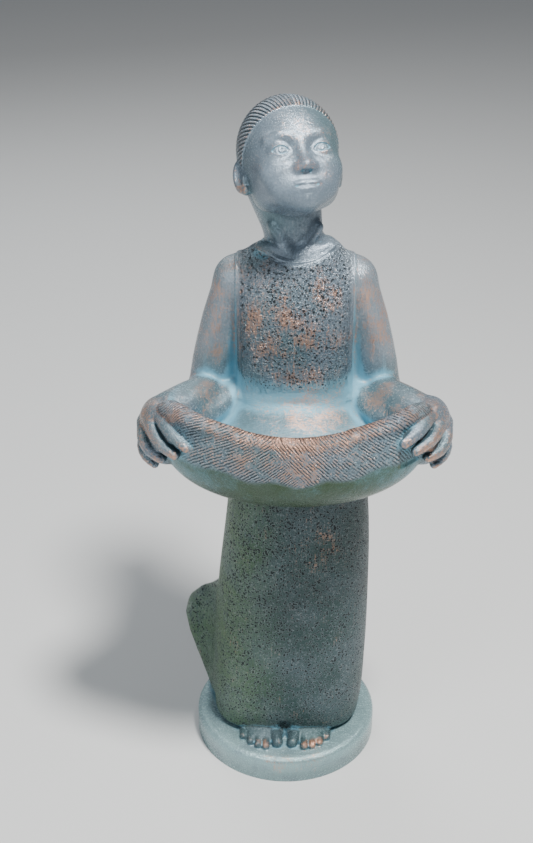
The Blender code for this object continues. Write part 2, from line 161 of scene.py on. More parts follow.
def column(p, levels, rounding=8.0):
    """An upright form. Each level is z, centre x, half width, reach to the front, reach to the
    back, and how square its section is: 2 for an oval, more for a rounded box."""
    zs, xs, widths, fronts, backs, squares = zip(*levels)
    x, y, z = p.T
    half = through(z, zs, widths)
    deep = np.where(y < 0, through(z, zs, fronts), through(z, zs, backs))
    power = through(z, zs, squares)
    u, v = np.abs(x - through(z, zs, xs)) / half, np.abs(y) / deep
    k = np.maximum((u ** power + v ** power) ** (1 / power), 1e-6)
    steep = np.hypot((u / k) ** (power - 1) / half, (v / k) ** (power - 1) / deep)
    side = (k - 1) / np.maximum(steep, 1e-6)
    return carve(side, -np.maximum(zs[0] - z, z - zs[-1]), rounding)


def near(p, low, high, shape):
    """The field of shape inside a box, and far away outside it, which saves time."""
    d = np.full(len(p), FAR)
    inside = np.all((p > np.array(low)) & (p < np.array(high)), axis=1)
    if inside.any():
        d[inside] = shape(p[inside])
    return d


def folded(p, middle=0.0):
    """Points with x counted outward from the middle, so that one side stands for both."""
    return np.column_stack([np.abs(p[:, 0] - middle), p[:, 1], p[:, 2]])


# The dress

def dress(p):
    skirt = column(p, [
        (4, 1, 93, 69, 74, 2.9), (30, 2, 96, 73, 80, 2.8), (100, 5, 97, 75, 84, 2.5),
        (190, 8, 95, 75, 82, 2.4), (320, 13, 86, 72, 74, 2.3), (400, 11, 78, 64, 64, 2.3),
        (470, 8, 69, 55, 54, 2.3), (520, 7, 67, 53, 52, 2.3), (575, 7, 69, 54, 53, 2.3),
        (615, 7, 64, 46, 46, 2.3), (642, 7, 48, 34, 36, 2.3)])
    edge = [(-72, 34, 144), (-104, 44, 136), (-117, 48, 110), (-105, 42, 60), (-87, 34, 14)]
    train = tube(p, edge, [15, 17, 17, 16, 12])
    train = blend(train, web(p, (-66, 34, 140), (-110, 46, 118), (-72, 30, 16), 31), 4)
    train = blend(train, limb(p, (-40, 74, 120), (-92, 70, 66), 17, 15), 26)
    d = blend(skirt, train, 36)
    d = carve(d, limb(p, (-1, -90, 0), (-1, -70, 16), 7, 4), 10)
    return carve(d, ellipsoid(p, (-116, 28, 137), (3.5, 5, 4.5)), 1.5)


def feet(p):
    p = folded(p)
    within = column(p, [(-6, 0, 74, 54, 54, 2.6), (20, 0, 76, 56, 58, 2.6)])
    d = blend(within, ellipsoid(p, (29, -60, 1), (30, 30, 13)), 5)
    toes = [limb(p, (12, -76, 6), (9.5, -89, 6.0), 8.0, 6.8)]
    for i in range(4):
        x, reach = 24.5 + 9.8 * i, 94 - 2.0 * i * i
        toes.append(limb(p, (x, -74 + 2 * i, 4.2), (x, -reach, 4.0), 5.6 - 0.25 * i, 5.0 - 0.25 * i))
    return blend(d, np.minimum.reduce(toes), 2)


# The basin

def rim_height(x):
    """How high the rim is, x from the middle: it sags between her hands, and dips into them."""
    return RIM_Z + 11 * ease(np.abs(x) / 120) - 16 * ease((np.abs(x) - 122) / 26)


def past_waist(x, y):
    """How far outside her waist a place is, 0 on it and 1 at twice its size."""
    return np.hypot(x / WAIST_HALF_WIDTH, y / WAIST_HALF_DEPTH) - 1


def basin_floor(x, y):
    """The height of the hollow's surface, which slopes gently away from her waist and then up to
    the rim, and how far across the hollow each place is, 1 at the rim."""
    wide, reach = BASIN_HALF_WIDTH / MM, BASIN_REACH / MM
    wall, depth = BASIN_WALL / MM, BASIN_DEPTH / MM
    across = np.hypot(x / (wide - wall), (y - BASIN_Y) / (reach - wall))
    to_rim = np.clip(1 - across, 0, 1) * (reach - wall)
    to_waist = np.clip(past_waist(x, y), 0, 1) * WAIST_HALF_DEPTH
    share = to_rim / np.maximum(to_rim + to_waist, 1e-6)
    low = RIM_Z - depth
    slope = WAIST_Z - (WAIST_Z - low) * np.sin(np.pi / 2 * np.clip((1 - share) / 0.66, 0, 1))
    return slope + (rim_height(x) - low) * np.clip(1 - share / 0.34, 0, 1) ** 2.4, across


def basin(p):
    """The cloth held out in front: a deep round bowl, hollowed from above. By the hand on the
    viewer's right its outer layer ends in a low step."""
    sideways = p[:, 0]
    p = folded(p, MIDDLE_X)
    wide, reach, drop = BASIN_HALF_WIDTH / MM, BASIN_REACH / MM, BASIN_DROP / MM
    wall = BASIN_WALL / MM
    x, y, z = p.T
    plan = np.hypot(x / wide, (y - BASIN_Y) / reach)
    down = np.clip((RIM_Z - z) / drop, 0, None)
    power = 3.2
    k = np.maximum((plan ** power + down ** power) ** (1 / power), 1e-6)
    steep = np.hypot((plan / k) ** (power - 1) * 1.15 / reach, (down / k) ** (power - 1) / drop)
    body = carve((k - 1) / np.maximum(steep, 1e-6), rim_height(x) - z, wall * 0.9)
    floor, across = basin_floor(x, y)
    hollow = np.maximum((floor - z) * 0.7, (across - 1) * (reach - wall))
    body = carve(body, hollow, 4.0)
    turned_in = ease((sideways - 122) / 2) * ease((z - 444) / 6) * (y < -60)
    body = body + 1.8 * turned_in
    forearm = wide - 56 + 0.8 * np.clip(-24 - y, 0, None)
    behind_hand = np.maximum(np.maximum(forearm - x, -93 - y), 448 - z)
    return carve(body, behind_hand, 10.0)


# Arms and hands. They are drawn for a basin of one size, and follow its side if it is wider or deeper

DRAWN_HALF_WIDTH, DRAWN_REACH = 158.0, 109.0


def at_grip(p, share=1.0):
    """Points as seen from the hand, so that it stays on the basin's side."""
    wider, longer = BASIN_HALF_WIDTH / MM - DRAWN_HALF_WIDTH, BASIN_REACH / MM - DRAWN_REACH
    x, y, z = folded(p, MIDDLE_X).T
    return np.column_stack([x - wider * share, y + 0.4 * longer * share, z])


def arms(p):
    forward = ease(-p[:, 1] / 60)
    p = at_grip(p, forward)
    shoulder = limb(p, (20, 6, 632), (62, 2, 608), 21, 25)
    upper = tube(p, [(66, 2, 606), (82, 7, 555), (93, 13, 498), (101, 18, 464)], [25, 25, 27, 24])
    fore = tube(p, [(101, 16, 462), (107, -24, 470), (122, -50, 475), (140, -72, 478)],
                [24, 24.8, 24, 21.5], 12)
    against_waist = tube(p, [(58, 8, 592), (78, 12, 490), (74, 10, 455)], [16, 18, 20])
    in_elbow = limb(p, (70, -6, 464), (104, -52, 462), 20, 17)
    d = blend(blend(upper, fore, 5), shoulder, 14)
    return blend(d, blend(against_waist, in_elbow, 8), 6)


FINGERS = [  # where each finger's knuckle, joints and tip lie, and its radii
    ([(146, -99, 488), (139, -121, 487), (129, -138, 481), (116, -151, 474)], [10.5, 10.0, 9.0, 6.0]),
    ([(160, -88, 479), (155, -110, 474), (144, -130, 466), (129, -145, 461)], [10.2, 9.2, 8.2, 5.6]),
    ([(167, -77, 464), (167, -97, 457), (159, -113, 449), (146, -124, 444)], [9.8, 8.6, 7.8, 5.4]),
    ([(168, -66, 447), (170, -84, 438), (165, -97, 432), (156, -106, 427)], [8.8, 7.6, 6.8, 5.0])]


def nail(p, d, joint, tip, outward, size):
    """A nail on the back of a finger: a flat plate with a groove round it."""
    along = np.array(tip, float) - joint
    along /= np.sqrt(along @ along)
    across = np.cross(along, outward)
    across /= np.sqrt(across @ across)
    up = np.cross(across, along)
    up *= np.sign(up @ np.array(outward, float))
    v = p - tip
    k = np.sqrt(((v @ along + 0.2 * size) / (1.15 * size)) ** 2 + ((v @ across) / size) ** 2)
    on_back = ease((v @ up) / 2)
    return d + on_back * (0.4 * np.exp(-((k - 1.05) / 0.16) ** 2) - 0.25 * ease((1 - k) * 5))


def hands(p):
    """Both hands. The one on the viewer's right holds the cloth a little higher."""
    lifted = (3 + 5 * ease((-112 - p[:, 1]) / 30)) * (p[:, 0] > MIDDLE_X)
    p = at_grip(p) - lifted[:, None] * (0.3, 0, 1)
    d = ellipsoid(p, (150, -78, 468), (24, 27, 28))
    d = blend(d, ellipsoid(p, (142, -97, 449), (21, 25, 24)), 8)
    d = blend(d, ellipsoid(p, (150, -93, 482), (15, 19, 17)), 6)
    d = blend(d, limb(p, (124, -58, 457), (127, -94, 452), 14, 14), 6)
    for (one, _), (other, _) in zip(FINGERS, FINGERS[1:]):
        between = (np.array(one[:3]) + np.array(other[:3])) / 2 + (-5, 3, -1)
        d = blend(d, tube(p, between, [8.0, 7.0, 6.0]), 3)
    fingers = np.full(len(p), FAR)
    for points, radii in FINGERS:
        d = blend(d, limb(p, (141, -64, 465), points[0], 13, radii[0]), 5)
        finger = tube(p, points, radii)
        finger = nail(p, finger, points[2], points[3], (0.6, -0.76, 0.25), 0.72 * radii[3])
        fingers = blend(fingers, finger, 0.8)
    return blend(d, fingers, 3.0)


def held_edge(p):
    """The rolled edge of the cloth, thick where it is gathered over her thumb."""
    p = at_grip(p, ease((np.abs(p[:, 0] - MIDDLE_X) - 50) / 60))
    return tube(p, [(62, -166, 499), (92, -155, 502), (116, -139, 504), (133, -119, 502),
                    (142, -106, 497)], [5.5, 7, 9.5, 11, 8.5])


# The head, in millimetres from the middle of the skull, with the face towards -y

def skull(q):
    s = folded(q)
    d = ellipsoid(q, (0, 6, 12), (53, 60, 56))
    jaw = ellipsoid(q, (0, -13, -23), (42, 41, 42))
    jaw = blend(jaw, ellipsoid(q, (0, -42, -56), (15, 13, 12)), 18)
    d = blend(d, jaw, 24)
    d = blend(d, ellipsoid(s, (24, -34, -24), (20, 16, 18)), 14)
    d = blend(d, ellipsoid(s, (19, -36, -44), (15, 12, 12)), 14)
    return blend(d, ellipsoid(s, (31, -2, -38), (12, 20, 14)), 16)


def eyes(s, d):
    """Sockets, lids and eyeballs. s is folded about the middle of the face."""
    d = carve(d, ellipsoid(s, (20.5, -61.5, -3.5), (15.5, 12, 9.5)), 9)
    d = blend(d, tube(s, [(12, -47, 13), (22, -47, 14), (32, -40.5, 11)], [2.4, 3.0, 2.4]), 10)
    x, z = s[:, 0], s[:, 2]
    ball = ellipsoid(s, (21.5, -39.8, -4), (12, 12, 12))
    iris = np.hypot(np.hypot(x - 21.2, z + 3.2) - 4.4, s[:, 1] + 51.3) - 0.45
    ball = carve(carve(ball, iris, 0.7), ellipsoid(s, (21.2, -52.3, -3.2), (1.8, 1.3, 1.8)), 0.8)
    lids = ellipsoid(s, (21.5, -39.8, -4), (13.7, 13.7, 13.7))
    u = (x - 21.5) / 10.4
    gap = 4.9 * np.clip(1 - u * u, 0, 1) ** 0.8 - 0.3
    lids = carve(lids, np.abs(z + 4.3 - 1.0 * (1 - u * u) - 0.06 * (x - 21.5)) - gap, 0.7)
    lids = np.maximum(lids, np.abs(z + 4) - 12.5)
    return np.minimum(blend(d, lids, 3), ball)


def nose(q, s, d):
    bridge = tube(q, [(0, -49, 4), (0, -54.5, -10), (0, -61.5, -23)], [3.6, 4.4, 6.2])
    wings = ellipsoid(s, (6.6, -56.5, -25), (5.2, 6, 4.6))
    d = blend(d, blend(bridge, wings, 5), 6)
    return carve(d, ellipsoid(s, (4.2, -59.5, -30.3), (2.1, 3.6, 2.4)), 1)


def mouth(q, s, d):
    d = blend(d, ellipsoid(q, (0, -41, -43), (20, 15, 13)), 12)
    d = carve(d, limb(q, (0, -60.5, -33), (0, -62.5, -37.5), 1.2, 1.8), 3)
    upper = ellipsoid(s, (4.8, -54.0, -41.0), (9.0, 4.9, 3.2))
    lower = ellipsoid(q, (0, -53.7, -47.0), (10.5, 5, 3.7))
    d = blend(d, np.minimum(upper, lower), 2.5)
    line = [(0, -59.6, -44.1), (7, -58.6, -44.2), (15, -53.6, -43.0)]
    return carve(d, tube(s, line, [0.8, 0.8, 0.6]), 1.2)


def brows(s, d):
    """A shallow arched groove over each eye."""
    arch = 19 - 0.012 * (s[:, 0] - 21) ** 2
    ends = ease((s[:, 0] - 11) / 6) * ease((36 - s[:, 0]) / 9) * (s[:, 1] < -20)
    return d + 0.6 * ends * np.exp(-((s[:, 2] - arch) / 1.5) ** 2)


def face(q, d):
    s = folded(q)
    return mouth(q, s, nose(q, s, eyes(s, brows(s, d))))


def ear(q):
    s = folded(q)
    turn = np.radians(28)
    x, y, z = s[:, 0] - 53, s[:, 1] - 12, s[:, 2] + 13
    s = np.column_stack([x * np.cos(turn) - y * np.sin(turn), x * np.sin(turn) + y * np.cos(turn), z])
    d = ellipsoid(s, (0, 1, 1), (5.5, 12, 18.5))
    d = carve(d, ellipsoid(s, (5.5, -1, 3), (4.6, 7.6, 13)), 2)
    d = blend(d, ellipsoid(s, (1.5, -7, -4), (3.5, 3, 4.5)), 2)
    return blend(d, ellipsoid(s, (0, -5, -16), (4.2, 5.5, 5)), 4)


STRANDS = 92  # grooves that the comb leaves, counted right round the head
BUN_Z = -4.0


def from_bun(q):
    """The distance from the line that runs from the face back through the bun."""
    return np.hypot(q[:, 0], q[:, 2] - BUN_Z)


def strand(q):
    """A count of the strands, which run back from the face to the bun and are coiled round it."""
    turn = np.arctan2(np.abs(q[:, 0]), q[:, 2] - BUN_Z) / (2 * np.pi)
    return np.where(q[:, 1] > 64, from_bun(q) / 3.4, STRANDS * turn)


def above_hairline(q):
    return (q[:, 2] - 46) * 0.69 + (q[:, 1] + 44) * 0.725


def hair(q, d):
    """A cap of combed hair, a little proud of the skin, and the bun that it is drawn back to."""
    cap = ellipsoid(q, (0, 7, 12), (55, 61.5, 58.5))
    cap = cap - 0.45 * np.cos(2 * np.pi * strand(q)) * ease(from_bun(q) / 45)
    cap = np.maximum(np.maximum(cap, -above_hairline(q)), -(q[:, 2] + 40))
    d = blend(d, cap, 1.5)
    bun = ellipsoid(q, (0, 70, BUN_Z), (19, 13, 19)) - 0.5 * np.cos(2 * np.pi * strand(q))
    return blend(d, bun, 5)


def in_head(p):
    """Points in the head's own millimetres."""
    turn, lift = np.radians(HEAD_TURN), np.radians(-HEAD_LIFT)
    cos, sin = np.cos(turn), np.sin(turn)
    about_z = np.array([[cos, -sin, 0], [sin, cos, 0], [0, 0, 1]])
    cos, sin = np.cos(lift), np.sin(lift)
    about_x = np.array([[1, 0, 0], [0, cos, -sin], [0, sin, cos]])
    return (p - np.array(HEAD_AT)) @ about_z @ about_x


def head(p):
    q = in_head(p)
    return blend(hair(q, face(q, skull(q))), ear(q), 3)


# The whole figure

def base(p):
    radius, thickness, edge = BASE_RADIUS / MM, BASE_THICKNESS / MM, BASE_EDGE_RADIUS / MM
    out = np.hypot(p[:, 0], p[:, 1]) - (radius - edge)
    up = np.abs(p[:, 2] + thickness) - (thickness - edge)
    inner = np.minimum(np.maximum(out, up), 0)
    return inner + np.hypot(np.maximum(out, 0), np.maximum(up, 0)) - edge


def edge_of_bodice(p):
    """The distance in from the armholes and the neckline, negative outside them."""
    s = folded(p, MIDDLE_X)
    neckline = 645 + 9 * (s[:, 0] / 40) ** 2
    return np.minimum(67.5 - s[:, 0], neckline - s[:, 2])


def bodice(p, d):
    """The sleeveless top of the dress, a little proud of her arms and neck."""
    return d - 1.8 * ease(np.minimum(edge_of_bodice(p), p[:, 2] - 470) / 2.5)


def neck_of(p):
    front = limb(p, (7, 7, 630), (2, 6, 712), 33, 29.5)
    return blend(front, limb(p, (2, 16, 660), (-6, 24, 705), 30, 42), 8)


def thumb_hole(p):
    """The small gap between her thumb and the cloth, on the viewer's left."""
    return ellipsoid(p, (-142, -111, 499), (3, 5, 3))


def collarbones(p):
    s = folded(p, MIDDLE_X)
    bones = limb(s, (6, -26, 648), (38, -16, 653), 6.0, 6.5)
    return blend(bones, limb(s, (6, -25, 650), (24, -13, 674), 5.0, 6.0), 5)


def forms_at(p):
    """The field of each form of the figure, by name."""
    return {
        "dress": near(p, (-170, -130, -20), (150, 140, 690), dress),
        "arms": near(p, (-170, -140, 380), (190, 100, 700), arms),
        "collar": ellipsoid(p, (12, 3, 637), (44, 42, 25)),
        "neck": neck_of(p),
        "basin": near(p, (-190, -210, 330), (210, 70, 540), basin),
        "edge": near(p, (-190, -210, 420), (210, -40, 530), held_edge),
        "hands": near(p, (-200, -190, 380), (215, 0, 530), hands),
        "head": near(p, (-90, -110, 640), (90, 110, 840), head),
        "feet": near(p, (-90, -120, -20), (90, 80, 50), feet),
        "base": base(p)}


def figure(p):
    """The field of the whole casting at points p, in figure millimetres."""
    forms = forms_at(p)
    d = blend(forms["dress"], forms["arms"], 9)
    d = bodice(p, blend(d, forms["collar"], 8))
    d = blend(d, forms["neck"], 5)
    d = blend(d, near(p, (-50, -60, 630), (65, 10, 690), collarbones), 7)
    d = carve(d, near(p, (-160, -130, 485), (-125, -90, 515), thumb_hole), 1.5)
    fillets = {"basin": 7, "edge": 6, "hands": 2, "head": 8, "feet": 2, "base": 2}
    for name, fillet in fillets.items():
        d = blend(d, forms[name], fillet)
    return d


def rise(p, here, h):
    """How much the field rises from its values at points p to those a step h further on each axis."""
    return np.column_stack([figure(p + np.eye(3)[i] * h) - here for i in range(3)])


# From the field to a mesh

def read_field(low, high, step):
    """The field on a grid. Far from the surface it is read on every fourth point only."""
    skip = 4
    counts = [int(np.ceil((h - l) / (step * skip))) + 1 for l, h in zip(low, high)]
    coarse = grid_points(low, counts, step * skip)
    value = figure(coarse).astype(np.float32).reshape(counts)
    fine = value
    for axis in range(3):
        fine = np.repeat(fine, skip, axis=axis)
    close = np.argwhere(np.abs(fine) < step * skip * 2.2)
    for part in np.array_split(close, max(1, len(close) // 400000)):
        points = np.array(low) + part * step
        fine[tuple(part.T)] = figure(points)
    return fine


def grid_points(low, counts, step):
    axes = [l + step * np.arange(n) for l, n in zip(low, counts)]
    return np.stack(np.meshgrid(*axes, indexing="ij"), axis=-1).reshape(-1, 3)


CORNERS = [(i, j, k) for i in (0, 1) for j in (0, 1) for k in (0, 1)]


def at_corner(array, corner, size=(1, 1, 1)):
    """The array's value at one corner of every cell."""
    i, j, k = (slice(c, n - s + c) for c, n, s in zip(corner, array.shape, size))
    return array[i, j, k]


def plug(value, depth):
    """Fills in the few places where the surface would touch itself along an edge or at a point."""
    for _ in range(12):
        inside = value < 0
        fill = np.zeros_like(inside)
        for axis in range(3):
            size = tuple(int(i != axis) for i in range(3))
            ring = [(0, 0), (1, 0), (1, 1), (0, 1)]
            ring = [tuple(np.insert(c, axis, 0)) for c in ring]
            a, b, c, d = (at_corner(inside, corner, size) for corner in ring)
            crossed = (a == c) & (b == d) & (a != b)
            for corner in ring:
                at_corner(fill, corner, size)[crossed] = True
        count = sum(at_corner(inside, c).astype(np.int8) for c in CORNERS)
        for corner in CORNERS[:4]:
            across = tuple(1 - c for c in corner)
            a, b = at_corner(inside, corner), at_corner(inside, across)
            lone = ((count == 2) & a & b) | ((count == 6) & ~a & ~b)
            for c in CORNERS:
                at_corner(fill, c)[lone] = True
        fill &= ~inside
        if not fill.any():
            break
        value[fill] = -depth
    return value


def surface(value, low, step):
    """Points and four-sided faces where the values on the grid change sign. The surface stays open
    where it runs off the grid, under the base."""
    inside = value < 0
    shape = tuple(n - 1 for n in value.shape)
    count = sum(at_corner(inside, c).astype(np.int8) for c in CORNERS)
    cells = np.argwhere((count > 0) & (count < 8))
    number = np.full(shape, -1, np.int32)
    number[tuple(cells.T)] = np.arange(len(cells))
    total, hits = np.zeros((len(cells), 3)), np.zeros(len(cells))
    for a in CORNERS:
        for axis in range(3):
            if a[axis]:
                continue
            b = tuple(1 if i == axis else a[i] for i in range(3))
            va, vb = value[tuple((cells + a).T)], value[tuple((cells + b).T)]
            cross = (va < 0) != (vb < 0)
            share = va[cross] / (va[cross] - vb[cross])
            total[cross] += np.array(a) + share[:, None] * (np.array(b) - np.array(a))
            hits[cross] += 1
    points = (cells + total / hits[:, None]) * step + np.array(low)
    faces = []
    for axis in range(3):
        one, two = (axis + 1) % 3, (axis + 2) % 3
        ahead = np.take(inside, range(1, inside.shape[axis]), axis=axis)
        behind = np.take(inside, range(inside.shape[axis] - 1), axis=axis)
        for outward, edges in ((True, behind & ~ahead), (False, ahead & ~behind)):
            edges = np.argwhere(edges)
            edges = edges[(edges[:, one] > 0) & (edges[:, two] > 0)]
            ring = []
            for da, db in ((0, 0), (1, 0), (1, 1), (0, 1)):
                cell = edges.copy()
                cell[:, one] -= da
                cell[:, two] -= db
                ring.append(number[tuple(cell.T)])
            ring = np.column_stack(ring)
            faces.append(ring if outward else ring[:, ::-1])
    return points, np.concatenate(faces)


def settle(points, most, rounds=2):
    """Moves points onto the surface along the field's slope."""
    h = 0.3
    for _ in range(rounds):
        here = figure(points)
        slope = rise(points, here, h) / h
        size = np.maximum(np.einsum("ij,ij->i", slope, slope), 0.2)
        shift = -(here / size)[:, None] * slope
        points = points + np.clip(shift, -most, most)
    return points


def largest_shell(shape):
    """Removes any bubble that two blended solids have closed in between them."""
    seen, shells = set(), []
    for start in shape.verts:
        if start in seen:
            continue
        seen.add(start)
        shell = [start]
        for vert in shell:
            beyond = [edge.other_vert(vert) for edge in vert.link_edges]
            new = [other for other in beyond if other not in seen]
            seen.update(new)
            shell.extend(new)
        shells.append(shell)
    shells.sort(key=len)
    stray = [vert for shell in shells[:-1] for vert in shell]
    bmesh.ops.delete(shape, geom=stray, context="VERTS")


def refine(shape, low, high):
    """Halves the mesh's step inside a box, given in figure millimetres."""
    low, high = np.array(low), np.array(high)
    middles = np.array([(e.verts[0].co + e.verts[1].co) / 2 for e in shape.edges])
    inside = np.all((middles > low) & (middles < high), axis=1)
    edges = [edge for edge, within in zip(shape.edges[:], inside) if within]
    bmesh.ops.subdivide_edges(shape, edges=edges, cuts=1, use_grid_fill=True)


def positions(vertices):
    co = np.empty(len(vertices) * 3)
    vertices.foreach_get("co", co)
    return co.reshape(-1, 3)


def drawn_mesh(name):
    """The whole figure in figure millimetres, finer at her head, face and hands, and cut off flat."""
    low = (-GRID_REACH, -GRID_REACH, -BASE_THICKNESS / MM - BELOW_BASE)
    high = (GRID_REACH, GRID_BACK, DRAWN_HEIGHT + ABOVE_HEAD)
    points, faces = surface(plug(read_field(low, high, STEP), 0.1 * STEP), low, STEP)
    mesh = bpy.data.meshes.new(name)
    mesh.from_pydata(points, [], faces)
    shape = bmesh.new()
    shape.from_mesh(mesh)
    largest_shell(shape)
    for box in FINE_BOXES:
        refine(shape, *box)
    shape.to_mesh(mesh)
    mesh.vertices.foreach_set("co", settle(positions(mesh.vertices), STEP / 4).ravel())
    shape.free()
    shape = bmesh.new()
    shape.from_mesh(mesh)
    everything = shape.verts[:] + shape.edges[:] + shape.faces[:]
    under = (0, 0, -BASE_THICKNESS / MM)
    cut = bmesh.ops.bisect_plane(
        shape, geom=everything, plane_co=under, plane_no=(0, 0, -1), clear_outer=True)
    rim = [e for e in cut["geom_cut"] if isinstance(e, bmesh.types.BMEdge)]
    bmesh.ops.contextual_create(shape, geom=rim)
    bmesh.ops.triangulate(shape, faces=shape.faces[:])
    shape.to_mesh(mesh)
    shape.free()
    return mesh


def make_casting(name):
    mesh = drawn_mesh(name)
    casting = bpy.data.objects.new(name, mesh)
    bpy.context.scene.collection.objects.link(casting)
    if len(mesh.polygons) > TRIANGLES:
        thin = casting.modifiers.new("Thin out", "DECIMATE")
        thin.ratio = TRIANGLES / len(mesh.polygons)
        made = casting.evaluated_get(bpy.context.evaluated_depsgraph_get())
        casting.data = bpy.data.meshes.new_from_object(made)
        casting.modifiers.clear()
        bpy.data.meshes.remove(mesh)
        mesh = casting.data
        mesh.name = name
    for place, values in painted(positions(mesh.vertices)).items():
        kind, field = ("FLOAT_VECTOR", "vector") if values.ndim == 2 else ("FLOAT", "value")
        stored = mesh.attributes.new(place, kind, "POINT")
        stored.data.foreach_set(field, values.astype(np.float32).ravel())
    points = positions(mesh.vertices) * MM + np.array((0, 0, BASE_THICKNESS))
    points[:, 2] = np.maximum(points[:, 2], 0)
    mesh.vertices.foreach_set("co", points.ravel())
    mesh.update()
    mesh.shade_smooth()
    mesh.materials.append(copper_patina())
    return casting


# Where the paint differs

RUBBED = [  # soft patches where copper shows: their centre, how wide they are, and how much
    ((-43, -50, 575), 26, 0.8), ((-2, -55, 586), 26, 0.8), ((47, -48, 612), 24, 0.8),
    ((9, -58, 508), 24, 0.9), ((-80, -16, 590), 26, 0.7), ((-84, -14, 522), 20, 0.9),
    ((94, -16, 594), 26, 0.8), ((96, -14, 550), 28, 0.9), ((8, -175, 472), 46, 0.9),
    ((-52, -165, 470), 30, 0.7), ((0, -110, 448), 40, 0.6), ((24, -50, 700), 22, 0.6),
    ((-96, -30, 484), 26, 0.7), ((112, -30, 484), 26, 0.7), ((40, -70, 380), 40, 0.5),
    ((46, -72, 300), 36, 0.5), ((14, -70, 760), 26, 0.5), ((0, 60, 580), 46, 0.7),
    ((-20, -52, 540), 22, 0.8), ((30, -52, 560), 22, 0.8), ((-56, -44, 620), 20, 0.8),
    ((-150, -110, 478), 34, 0.7), ((160, -110, 478), 34, 0.8), ((40, -88, 8), 26, 0.9),
    ((-24, -88, 8), 20, 0.7), ((66, -150, 480), 40, 0.4), ((-90, -140, 480), 34, 0.4),
    ((16, -68, 471), 34, 0.8), ((48, -66, 466), 30, 0.9), ((7, -43, 791), 26, 0.7),
    ((-10, -114, -3), 30, 1.1), ((34, -110, -3), 24, 1.1),
    ((-32, -55, 757), 15, 0.6), ((34, -58, 748), 18, 0.8), ((-74, -20, 560), 30, 0.7),
    ((-40, 62, 520), 40, 0.5), ((50, 70, 300), 60, 0.4), ((-30, 80, 200), 60, 0.4)]


AROUND_RADIUS = 130  # turns the angle round the basin into millimetres along its band


def share_of(d, others, soft=1.5):
    """How much of the surface belongs to the form with field d, near 1 where no other is as close."""
    return 1 / (1 + sum(np.exp(np.clip((d - other) / soft, -30, 30)) for other in others))


def painted(p):
    """The numbers that the paint reads, for points on the surface. Most go from 0 to 1: shore is
    the water line at her waist, and another marks the greener side of the skirt, on the viewer's left.
    Seam and below are distances in from the bodice's edge and down from the rim, and grain is the
    place, drawn out along strokes."""
    h = 0.4
    here = figure(p)
    slope = rise(p, here, h)
    normal = slope / np.maximum(length(slope), 1e-6)[:, None]

    def shut_in(reach):
        return np.clip(1 - figure(p + normal * reach) / reach, 0, 1)

    def stands_out(reach):
        return np.clip(1 + figure(p - normal * reach) / reach, 0, 1)

    x, y, z = p.T
    forms = forms_at(p)
    forms["neck"] = np.minimum(forms["neck"], forms.pop("collar"))

    def belongs(*names):
        ours = np.minimum.reduce([forms[name] for name in names])
        return share_of(ours, [d for name, d in forms.items() if name not in names])

    s = folded(p, MIDDLE_X)
    floor, across = basin_floor(s[:, 0], y)
    bowl = belongs("basin", "edge")
    in_dish = bowl * ease((1 - across) * 14) * ease((z - floor + 14) / 6)
    outside = bowl * (1 - in_dish)
    below = rim_height(s[:, 0]) - z
    band = outside * ease((58 - below + 3 * np.sin(x / 9)) / 5)
    seam = edge_of_bodice(p)
    top = ease(seam + 0.5) * (1 - belongs("hands")) * (1 - bowl) * (z > 480)
    top = top * (1 - belongs("head"))
    skirt = belongs("dress") * (z < 470)
    q = in_head(p)
    on_head = belongs("head")
    hair_share = on_head * ease((above_hairline(q) + 0.6) / 1.2) * (q[:, 2] > -39)
    hair_share = np.maximum(hair_share, on_head * (q[:, 1] > 60)) * ease((ear(q) - 0.3) / 1.2)
    angle = np.arctan2(x - MIDDLE_X, -(y - BASIN_Y))
    from_waist = past_waist(s[:, 0], y) * WAIST_HALF_DEPTH
    behind = ease((y - 5) / 25)
    rub = np.zeros(len(p))
    for centre, wide, amount in RUBBED:
        v = p - np.array(centre, float)
        rub = np.maximum(rub, amount * np.exp(-np.einsum("ij,ij->i", v, v) / wide ** 2))
    stretch = np.ones((len(p), 3))
    stretch[:, 2] = 1 - 0.9 * np.clip(skirt + top + belongs("arms", "neck", "base"), 0, 1)
    stretch[:, 0] = 1 - 0.9 * in_dish
    return {
        "crease": np.maximum(shut_in(3.0), 0.8 * shut_in(7.0)),
        "hidden": shut_in(22.0),
        "raised": np.maximum(stands_out(8.0), stands_out(3.0)),
        "rub": rub,
        "pitted": skirt * ease((457 + 15 * behind - z) / 6)
        + top * ease((seam - 5) / 3) * ease((z - 493 + 12 * behind) / 4),
        "top": top,
        "skirt": skirt,
        "bowl": outside,
        "band": band,
        "dish": in_dish,
        "sewn": belongs("dress", "arms", "neck") * ease((z - 545) / 30),
        # the basin's lip, where the copper is partly wear and partly a painted highlight
        "rim": bowl * ease((11 - np.abs(below - 3)) / 8),
        "greener_left": skirt * ease((10 - x) / 80),
        "feet": belongs("feet") * (z < 30),
        "hands": belongs("hands"),
        "arms": belongs("arms") * ease((z - 485) / 50),
        "shore": ease((18 - np.abs(from_waist)) / 14) * ease((z - 458) / 8) * ease((512 - z) / 12)
        * (1 - behind),
        "skin": np.maximum(on_head * (1 - hair_share), belongs("neck") * (z > 640)),
        "hair": hair_share,
        "strand": strand(q),
        "seam": np.clip(seam, -12, 12),
        "base": belongs("base"),
        "around": angle * AROUND_RADIUS,
        "below": below,
        "grain": p * stretch}


# The paint

